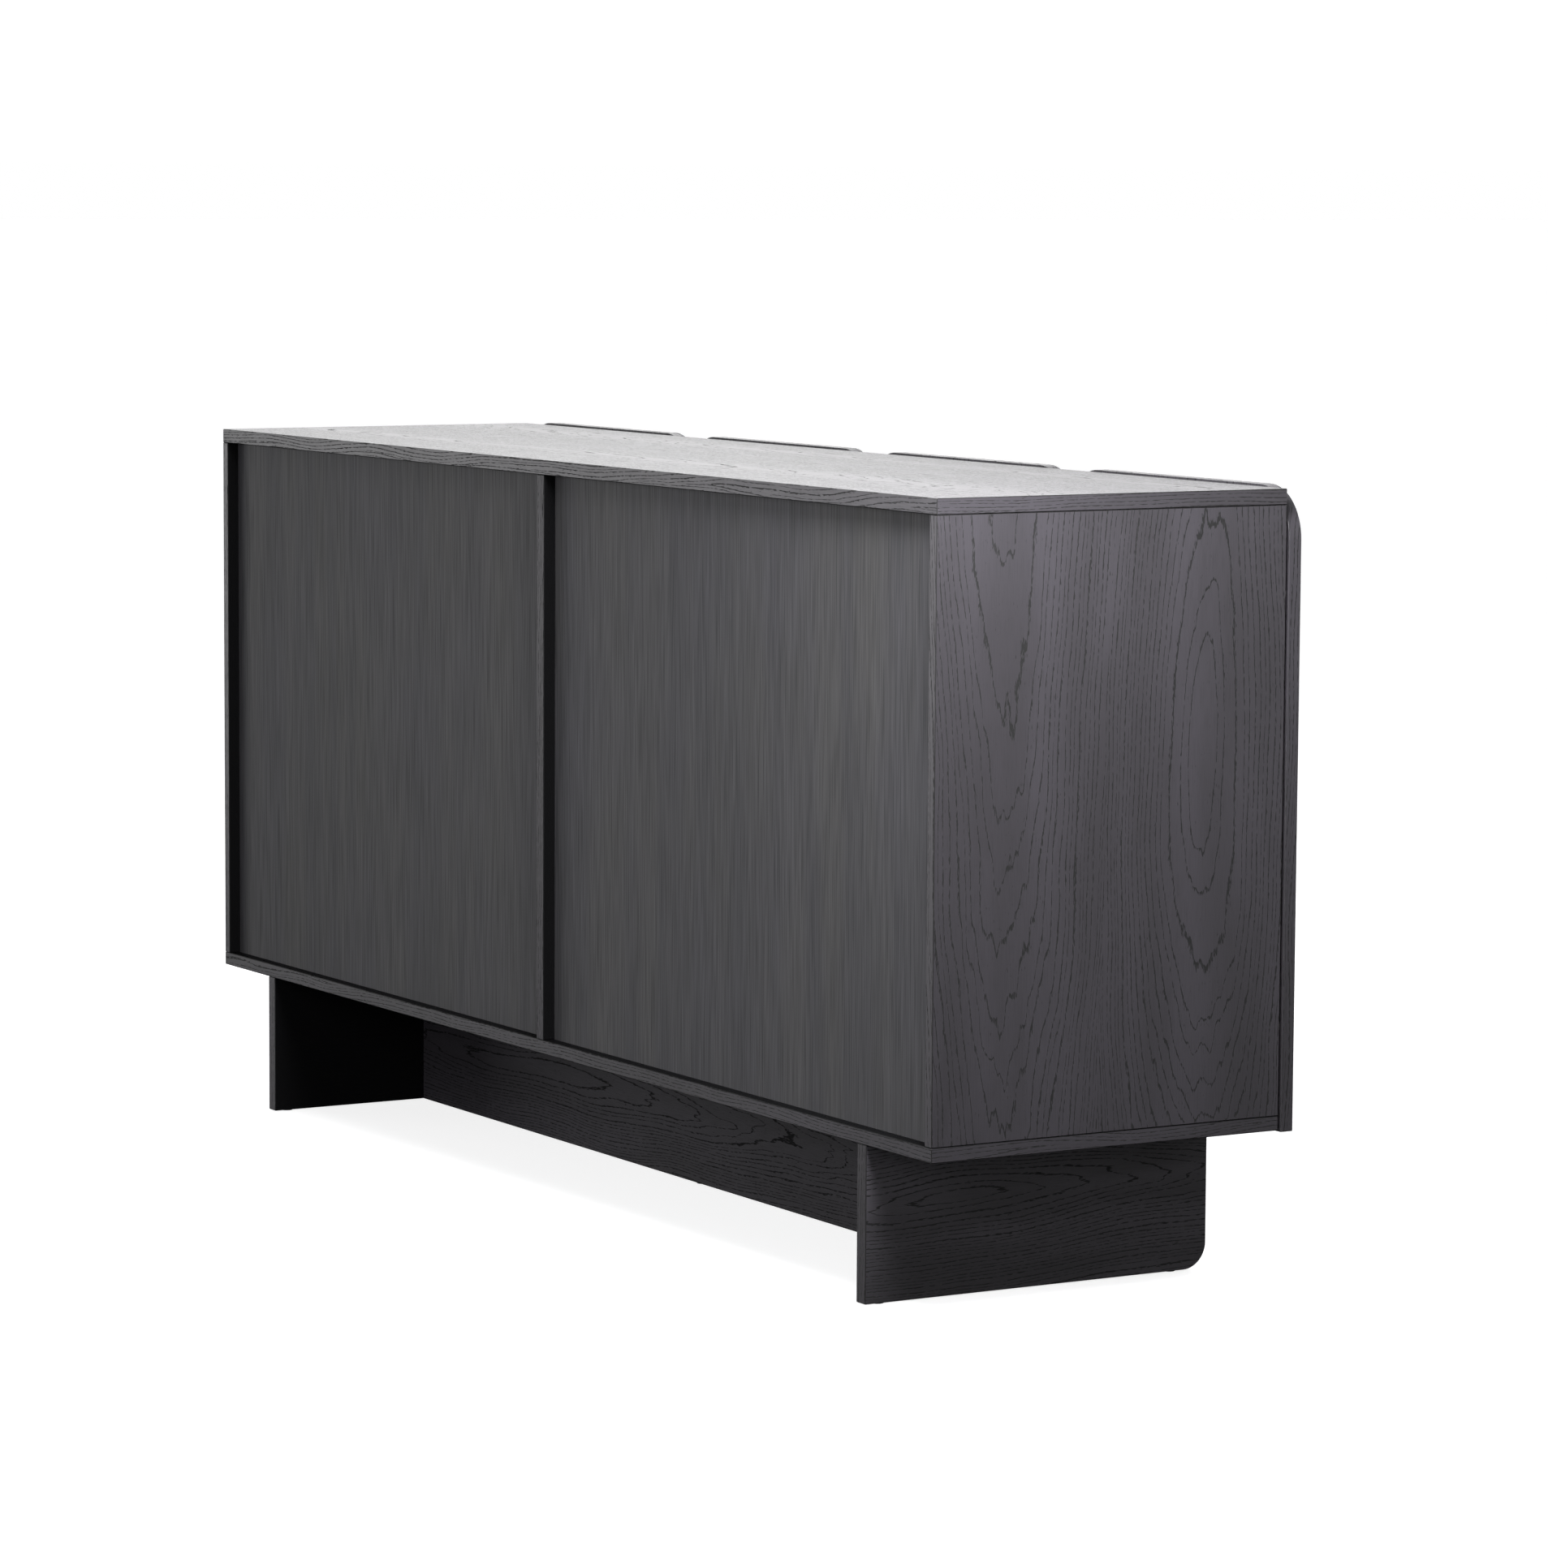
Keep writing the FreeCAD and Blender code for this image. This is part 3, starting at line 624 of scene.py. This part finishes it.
# One piece from several shells. Poles are merged and the faces turned to point outwards.
def makePiece(name, shells, material, body, slot, *stoodFor):
    points, faces, first = [], [], 0
    for shellPoints, shellFaces in shells:
        points.append(shellPoints)
        faces += [[first + corner for corner in face] for face in shellFaces]
        first += len(shellPoints)
    mesh = bpy.data.meshes.new(name)
    mesh.from_pydata(np.concatenate(points).tolist(), [], faces)
    shape = bmesh.new()
    shape.from_mesh(mesh)
    bmesh.ops.remove_doubles(shape, verts=shape.verts, dist=1e-6)
    bmesh.ops.dissolve_degenerate(shape, edges=shape.edges, dist=1e-6)
    bmesh.ops.recalc_face_normals(shape, faces=shape.faces)
    shape.to_mesh(mesh)
    shape.free()
    mesh.set_sharp_from_angle(angle=math.radians(35))
    mesh.materials.append(material)
    piece = bpy.data.objects.new(name, mesh)
    bpy.context.scene.collection.objects.link(piece)
    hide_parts(*stoodFor)
    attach(piece, body)
    return piece


# Axes of a turned part, from the direction that it points in.
def axesAlong(direction):
    direction = np.array(direction, float)
    side = np.array((0, 1, 0) if abs(direction[0]) > 0.5 else (1, 0, 0), float)
    return side, np.cross(direction, side), direction


hingeCup = {
    "rim": 0.0185, "outer": 0.0174, "inner": 0.0164, "depth": 0.011, "floor": 0.010, "corner": 0.0006,
    # the rolled rim, from its outside to its inside: the circle it starts from, outward, height
    "rimLine": [("rim", -0.0004, 0), ("rim", 0, 0.0004), ("rim", -0.0003, 0.0009),
                ("inner", 0.0007, 0.0010), ("inner", 0, 0.0004)],
    "wingHalf": 0.007, "wingReach": 0.029, "wingThick": 0.001,
    "screwRadius": 0.0034, "screwAt": 0.024, "screwRise": 0.0006, "screwProud": 0.0002,
    "pinRadius": 0.0016, "pinHalf": 0.013, "pinAt": (0.0045, 0.0074),
    "link": (0.0072, 0.0055), "linkCorner": 0.0015,
    "linkLine": [(0, -0.0100), (1, -0.0100), (1, -0.0062), (0.9, -0.0056), (0, -0.0056)],
}


# Outline of a screw head under its dome.
def headSide(radius):
    return [(radius, 0), (radius * 0.9, -0.0006)]


# A turned cup with a rolled rim, two screwed wings, and the hinge pins across its floor.
def cupShells(x, face, z):
    c = hingeCup
    out = axesAlong((0, 1, 0))
    profile = [(0, -c["depth"]), (c["outer"] - c["corner"], -c["depth"]),
               (c["outer"], -c["depth"] + c["corner"]), (c["outer"], 0)]
    profile += [(c[start] + outward, height) for start, outward, height in c["rimLine"]]
    profile += [(c["inner"], -c["floor"] + c["corner"]), (c["inner"] - c["corner"], -c["floor"]),
                (0, -c["floor"])]
    shells = [shell(circle(48), profile, (x, face, z), out)]
    start = math.asin(c["wingHalf"] / c["outer"])
    rim = np.linspace(math.pi / 2 - start, math.pi / 2 + start, 9)
    end = np.linspace(math.pi, 0, 15)
    wing = np.concatenate([c["outer"] * np.stack([np.cos(rim), np.sin(rim)], axis=1),
                           c["wingHalf"] * np.stack([np.cos(end), np.sin(end)], axis=1)
                           + [0, c["wingReach"] - c["wingHalf"]]])
    pin = [(0, -c["pinHalf"]), (c["pinRadius"], -c["pinHalf"]),
           (c["pinRadius"], c["pinHalf"]), (0, c["pinHalf"])]
    for up in (1, -1):
        shells.append(alongY(wing * [1, up], face, face + c["wingThick"], x, 1, z))
        place = (x, face + c["wingThick"] + c["screwProud"], z + up * c["screwAt"])
        shells.append(crossHead(place, out, c["screwRadius"], c["screwRise"], headSide(c["screwRadius"])))
        place = (x + up * c["pinAt"][0], face - c["pinAt"][1], z)
        shells.append(shell(circle(16), pin, place, axesAlong((0, 0, 1))))
    shells.append(shell(roundedBox(*c["link"], c["linkCorner"]), c["linkLine"], (x, face, z), out))
    return shells


hingeArm = {
    "plate": (0.009, 0.024), "plateCorner": 0.006, "plateThick": 0.002, "plateSetBack": 0.037,
    "plateBevel": (0.96, 0.0005),               # share of the outline left on top, height
    "boss": (0.017, 0.004), "bossCorner": 0.002, "standOff": 0.007,
    "arm": (0.0045, 0.006), "armCorner": 0.0022, "length": 0.069, "reach": 0.007,
    "armEnd": [(0.72, 0), (0.92, 0.0006), (1, 0.0022)],     # share of the outline, from the end
    "screwRadius": 0.0036, "screwAt": 0.019, "screwRise": 0.0007, "screwProud": 0.0003,
    "adjusters": (0.0, -0.022), "adjusterRise": 0.0008, "adjusterProud": 0.0002,
}


# A mounting plate with two screws, a boss, and an arm with rounded ends and two adjusting screws.
def armShells(wall, inward, front, z):
    a = hingeArm
    out = axesAlong((inward, 0, 0))
    plateY = front + a["reach"] + a["plateSetBack"]
    topShare, bevel = a["plateBevel"]
    plate = [(0, 0), (1, 0), (1, a["plateThick"] - bevel), (topShare, a["plateThick"]),
             (0, a["plateThick"])]
    shells = [shell(roundedBox(*a["plate"], a["plateCorner"]), plate, (wall, plateY, z), out)]
    bossY = front + a["length"] - a["boss"][0]
    boss = [(0, 0), (1, 0), (1, a["standOff"]), (0, a["standOff"])]
    shells.append(shell(roundedBox(*a["boss"], a["bossCorner"]), boss, (wall, bossY, z), out))
    stations = [(0, 0)] + a["armEnd"]
    stations += [(scale, a["length"] - height) for scale, height in reversed(stations)]
    middle = (wall + inward * (a["standOff"] + a["arm"][0]), front, z)
    shells.append(shell(roundedBox(*a["arm"], a["armCorner"]), stations, middle,
                        ((1, 0, 0), (0, 0, 1), (0, 1, 0))))
    side = headSide(a["screwRadius"])
    for up in (1, -1):
        place = (wall + inward * (a["plateThick"] + a["screwProud"]), plateY, z + up * a["screwAt"])
        shells.append(crossHead(place, out, a["screwRadius"], a["screwRise"], side))
    for shift in a["adjusters"]:
        x = wall + inward * (a["standOff"] + 2 * a["arm"][0] + a["adjusterProud"])
        shells.append(crossHead((x, plateY + shift, z), out, a["screwRadius"], a["adjusterRise"], side))
    return shells


# Two hinges to a door. The cups ride the door, the arms stay with the carcass.
def buildHinges(nickel):
    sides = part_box("side_panel_left")[1].x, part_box("side_panel_right")[0].x
    armLow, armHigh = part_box("hinge_arms")
    heights = armLow.z + hingeArm["plate"][1], armHigh.z - hingeArm["plate"][1]
    arms = []
    for wall, inward, word in zip(sides, (1, -1), ("left", "right")):
        low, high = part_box("hinge_cups_" + word)
        cups = []
        for z in heights:
            cups += cupShells((low.x + high.x) / 2, high.y - hingeCup["wingThick"], z)
            arms += armShells(wall, inward, armLow.y, z)
        makePiece("hinge_cups_%s_detail" % word, cups, nickel, "door_" + word, "plated_steel",
                  "hinge_cups_" + word)
    makePiece("hinge_arms_detail", arms, nickel, "carcass", "plated_steel", "hinge_arms")
    print("hinges built")


fixings = {
    "camRadius": 0.006, "camLip": 0.0004, "camSkin": 0.003, "camAt": 0.024, "camEdge": 0.060,
    "screwRadius": 0.0042, "screwLip": 0.0003, "headDepth": 0.0024, "shankRadius": 0.002,
    "screwLength": 0.038, "screwPoint": (0.0004, 0.004),    # its end's radius and its taper
    "screwEdge": 0.045, "railScrewSpacing": 0.5,
    "pinEdge": 0.060, "pinRadius": 0.0025, "pinSides": 20,
    # the pin's buried end: its centre, then points out from its radius
    "pinBuried": [(0, -0.007), (-0.0003, -0.007), (0, -0.0066), (0, 0)],
    "pinCollar": [(0.004, 0), (0.004, 0.0008), (0.0036, 0.0012)],
    "pinOut": 0.009, "pinShoulder": 0.0012, "pinNose": (0.0005, 0.0084),
    "plunger": [(0, 0), (0.0030, 0), (0.0042, 0.0003), (0.0048, 0.0009), (0.0048, 0.0016),
                (0.0044, 0.0020), (0.0035, 0.0021)],
    "plungerStem": 0.0035,
}


# Cams: flat discs with a cross recess, flush with the face of their board.
def camShells():
    f = fixings
    shells = []
    for name, face in (("side_panel_left", 1), ("partition_left", -1), ("centre_divider", 1),
                       ("partition_right", 1), ("side_panel_right", -1)):
        low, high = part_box(name)
        x = high.x if face > 0 else low.x
        deep = high.x - low.x - f["camSkin"]
        body = [(f["camRadius"], -f["camLip"]), (f["camRadius"], -deep)]
        floor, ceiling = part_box("bottom_panel")[1].z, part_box("top_panel")[0].z
        for y in (low.y + f["camEdge"], high.y - f["camEdge"]):
            for z in (floor + f["camAt"], ceiling - f["camAt"]):
                shells.append(crossHead((x, y, z), axesAlong((face, 0, 0)), f["camRadius"], 0.0, body))
    return shells


# Screws down through the bottom: a cross head flush with the board, then a cone, a straight
# shank and a taper to the point, as radius against depth.
def baseScrewShells():
    f = fixings
    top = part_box("bottom_panel")[1].z
    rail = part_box("base_rail")
    places = [(side * f["railScrewSpacing"] / 2, (rail[0].y + rail[1].y) / 2) for side in (-1, 1)]
    for name in ("leg_panel_left", "leg_panel_right"):
        low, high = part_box(name)
        places += [((low.x + high.x) / 2, y) for y in (low.y + f["screwEdge"], high.y - f["screwEdge"])]
    endRadius, taper = f["screwPoint"]
    body = [(f["screwRadius"], -f["screwLip"]), (f["shankRadius"], -f["headDepth"]),
            (f["shankRadius"], -f["screwLength"] + taper), (endRadius, -f["screwLength"])]
    return [crossHead((x, y, top), axesAlong((0, 0, 1)), f["screwRadius"], 0.0, body) for x, y in places]


# Shelf pins: a profile turned round the pin's axis, buried in the wall up to its collar.
def shelfPinShells():
    f = fixings
    r = f["pinRadius"]
    chamfer, noseStart = f["pinNose"]
    profile = [f["pinBuried"][0]] + [(r + inset, height) for inset, height in f["pinBuried"][1:]]
    profile += f["pinCollar"] + [(r, f["pinShoulder"]), (r, noseStart), (r - chamfer, f["pinOut"]),
                                 (0, f["pinOut"])]
    bays = (("shelf_left", "side_panel_left", "partition_left"),
            ("shelf_right", "partition_right", "side_panel_right"))
    shells = []
    for shelf, leftWall, rightWall in bays:
        low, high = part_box(shelf)
        for wall, inward in ((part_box(leftWall)[1].x, 1), (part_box(rightWall)[0].x, -1)):
            for y in (low.y + f["pinEdge"], high.y - f["pinEdge"]):
                place = (wall, y, low.z - r)
                shells.append(shell(circle(f["pinSides"]), profile, place, axesAlong((inward, 0, 0))))
    return shells


# Fixings of the carcass, and the two latch plungers, which are profiles turned along y.
def buildFixings(nickel, grey):
    makePiece("cam_locks_detail", camShells(), nickel, "carcass", "plated_steel", "cam_locks")
    makePiece("base_screws_detail", baseScrewShells(), nickel, "carcass", "plated_steel", "base_screws")
    makePiece("shelf_pins_detail", shelfPinShells(), nickel, "carcass", "plated_steel", "shelf_pins")
    for word in ("left", "right"):
        name = "latch_plunger_" + word
        low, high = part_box(name)
        long = high.y - low.y
        profile = fixings["plunger"] + [(fixings["plungerStem"], long), (0, long)]
        place = ((low.x + high.x) / 2, low.y, (low.z + high.z) / 2)
        plunger = shell(circle(32), profile, place, axesAlong((0, 1, 0)))
        makePiece(name + "_detail", [plunger], grey, name, "grey_plastic", name)
    print("fixings built")


runner = {
    "metal": 0.0012,
    # middle lines of the sheet, out from the wall and up from the runner's middle
    "channel": [(0.0099, -0.0154), (0.0099, -0.0174), (0.0006, -0.0174), (0.0006, 0.0174),
                (0.0099, 0.0174), (0.0099, 0.0154)],
    "rail": [(0.0030, -0.0136), (0.0121, -0.0136), (0.0121, 0.0136), (0.0030, 0.0136)],
    "bend": 0.0009,
    "ballsAt": (0.0062, 0.0155),
    "ballRadius": 0.0012,
    "cageRadius": 0.0004,
    "ballPitch": 0.013,
    "ballInset": 0.01,
    "stepsPerBall": 8,
    "leftBay": ("partition_left", "centre_divider"),
    "rightBay": ("centre_divider", "partition_right"),
}


# Balls in their cage: a rod whose radius swells to a ball's at even steps along y.
def ballShells(wall, inward, start, end, z):
    r = runner
    y = np.arange(start + r["ballInset"], end - r["ballInset"], r["ballPitch"] / r["stepsPerBall"])
    swell = np.maximum(0, np.cos((y - start) * 2 * math.pi / r["ballPitch"]))
    radius = r["cageRadius"] + (r["ballRadius"] - r["cageRadius"]) * np.sqrt(swell)
    closedRadius = np.append(np.insert(radius, 0, 0), 0)
    closedY = np.append(np.insert(y, 0, y[0]), y[-1])
    stations = np.stack([closedRadius, closedY], axis=1)
    return [shell(circle(8), stations, (wall + inward * r["ballsAt"][0], 0, z + up * r["ballsAt"][1]),
                  ((1, 0, 0), (0, 0, 1), (0, 1, 0))) for up in (-1, 1)]


# Telescopic runners: a lipped channel on the bay wall and a rail on the drawer that rides in it.
def buildRunners(zinc):
    channel = sheetSection(roundedLine(runner["channel"], runner["bend"]), runner["metal"])
    rail = sheetSection(roundedLine(runner["rail"], runner["bend"]), runner["metal"])
    fixed = []
    for number in range(1, 7):
        low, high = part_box("drawer_%d_runners" % number)
        z = (low.z + high.z) / 2
        walls = runner["leftBay"] if number < 4 else runner["rightBay"]
        moving = []
        for wall, inward in ((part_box(walls[0])[1].x, 1), (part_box(walls[1])[0].x, -1)):
            fixed.append(alongY(channel, low.y, high.y, wall, inward, z))
            fixed += ballShells(wall, inward, low.y, high.y, z)
            moving.append(alongY(rail, low.y, high.y, wall, inward, z))
        makePiece("drawer_%d_runners_detail" % number, moving, zinc, "drawer_%d" % number, "runner_steel",
                  "drawer_%d_runners" % number)
    makePiece("cabinet_runners_detail", fixed, zinc, "carcass", "runner_steel", "cabinet_runners")
    print("runners built")


studio = {
    "cameraPlace": (-5.12544, 2.94228, 1.04344),
    "cameraTurn": (83.93109, -0.32136, -120.44405),     # degrees
    "lens": 132.752,
    "skyBelow": 0.05,                           # backdrop brightness under the horizon
    "belowEdge": (-0.05, -0.02),                # heights where it changes, as sines
    "skyAbove": 0.15,                           # and overhead
    "aboveEdge": (0.03, 0.08),
    "skyGlow": 2.05,                            # extra light of the lit backdrop in front
    "glowTowards": (0.84, -0.48, 0.26),
    "glowEdge": (0.70, 0.95),
    "glowFloor": (0.0, 0.03),
    "floorSize": 200.0,
    "floorColour": (0.60, 0.60, 0.61, 1),
    "floorRough": 0.9,
    "floorGlow": 0.80,
}

lamps = {
    "edgeSoftbox": {"place": (-1.15, 0.36, 1.20), "aim": (-0.75, 0.12, 0.6), "size": (0.4, 0.4),
                    "power": 24},
    "lowSoftbox": {"place": (-3.0, -1.5, 1.0), "aim": (-0.75, 0.0, 0.5), "size": (1.5, 1.0), "power": 6},
    "backSoftbox": {"place": (-1.3, 1.8, 1.0), "aim": (-0.5, 0.19, 0.4), "size": (1.0, 0.8), "power": 12},
    "farSoftbox": {"place": (-0.3, 2.6, 0.8), "aim": (0.0, 0.19, 0.4), "size": (1.6, 0.8), "power": 6},
    "sideSoftbox": {"place": (3.2, 2.2, 0.5), "aim": (0.0, 0.19, 0.4), "size": (2.0, 1.0), "power": 22},
    "frontSoftbox": {"place": (0.6, -3.6, 1.9), "aim": (0.0, -0.2, 0.4), "size": (2.6, 1.6), "power": 60},
    "rightSoftbox": {"place": (2.6, -1.0, 2.6), "aim": (0.75, 0.0, 0.4), "size": (1.6, 1.4), "power": 30},
}


# Rotation that points an object's -Z from place to target.
def aimed(place, target):
    x, y, z = (target[axis] - place[axis] for axis in range(3))
    return (math.atan2(math.hypot(x, y), -z), 0.0, math.atan2(y, x) - math.pi / 2)


# White all round, darker under the horizon and overhead, with a brighter patch in front.
def buildSky(scene):
    world = bpy.data.worlds.new("white_studio")
    scene.world = world
    world.use_nodes = True
    tree = world.node_tree
    direction = splitAxes(tree, put(tree, "ShaderNodeTexCoord").outputs["Generated"])
    lower = ease(tree, direction[2], *studio["belowEdge"], studio["skyBelow"], 1.0)
    strength = product(tree, lower, ease(tree, direction[2], *studio["aboveEdge"], 1.0, studio["skyAbove"]))
    turned = put(tree, "ShaderNodeVectorMath", put(tree, "ShaderNodeTexCoord").outputs["Generated"],
                 studio["glowTowards"], operation="DOT_PRODUCT").outputs["Value"]
    glow = product(tree, ease(tree, turned, *studio["glowEdge"]),
                   ease(tree, direction[2], *studio["glowFloor"]), studio["skyGlow"])
    # the backdrop itself is seen plain white
    seen = put(tree, "ShaderNodeLightPath").outputs["Is Camera Ray"]
    strength = calc(tree, "MAXIMUM", total(tree, strength, glow), seen)
    sky = tree.nodes["Background"]
    sky.inputs["Color"].default_value = (1, 1, 1, 1)
    tree.links.new(strength, sky.inputs["Strength"])


# A pale floor that throws no light back and shows in no reflection.
def buildFloor(scene):
    half = studio["floorSize"] / 2
    mesh = bpy.data.meshes.new("floor")
    mesh.from_pydata([(-half, -half, 0), (half, -half, 0), (half, half, 0), (-half, half, 0)],
                     [], [(0, 1, 2, 3)])
    floor = bpy.data.objects.new("floor", mesh)
    scene.collection.objects.link(floor)
    material, _, shader = newMaterial("pale_floor")
    shader.inputs["Base Color"].default_value = studio["floorColour"]
    shader.inputs["Roughness"].default_value = studio["floorRough"]
    shader.inputs["Specular IOR Level"].default_value = 0.0
    shader.inputs["Emission Color"].default_value = (1, 1, 1, 1)
    shader.inputs["Emission Strength"].default_value = studio["floorGlow"]
    mesh.materials.append(material)
    floor.visible_diffuse = False
    floor.visible_glossy = False


def buildStudio():
    scene = bpy.context.scene
    scene.view_settings.view_transform = "Standard"
    buildSky(scene)
    buildFloor(scene)
    for name, lamp in lamps.items():
        light = bpy.data.lights.new(name, "AREA")
        light.shape = "RECTANGLE"
        light.size, light.size_y = lamp["size"]
        light.energy = lamp["power"]
        softbox = bpy.data.objects.new(name, light)
        softbox.location = lamp["place"]
        softbox.rotation_euler = aimed(lamp["place"], lamp["aim"])
        softbox.visible_camera = False
        scene.collection.objects.link(softbox)
    view = bpy.data.cameras.new("camera")
    view.lens = studio["lens"]
    camera = bpy.data.objects.new("camera", view)
    camera.location = studio["cameraPlace"]
    camera.rotation_euler = [math.radians(angle) for angle in studio["cameraTurn"]]
    scene.collection.objects.link(camera)
    scene.camera = camera
    print("studio built")


dressWood()
finishes = dressHardware()
buildHinges(finishes["nickel_plate"])
buildFixings(finishes["nickel_plate"], finishes["grey_plastic"])
buildRunners(finishes["zinc_plate"])
buildStudio()

print("finished")
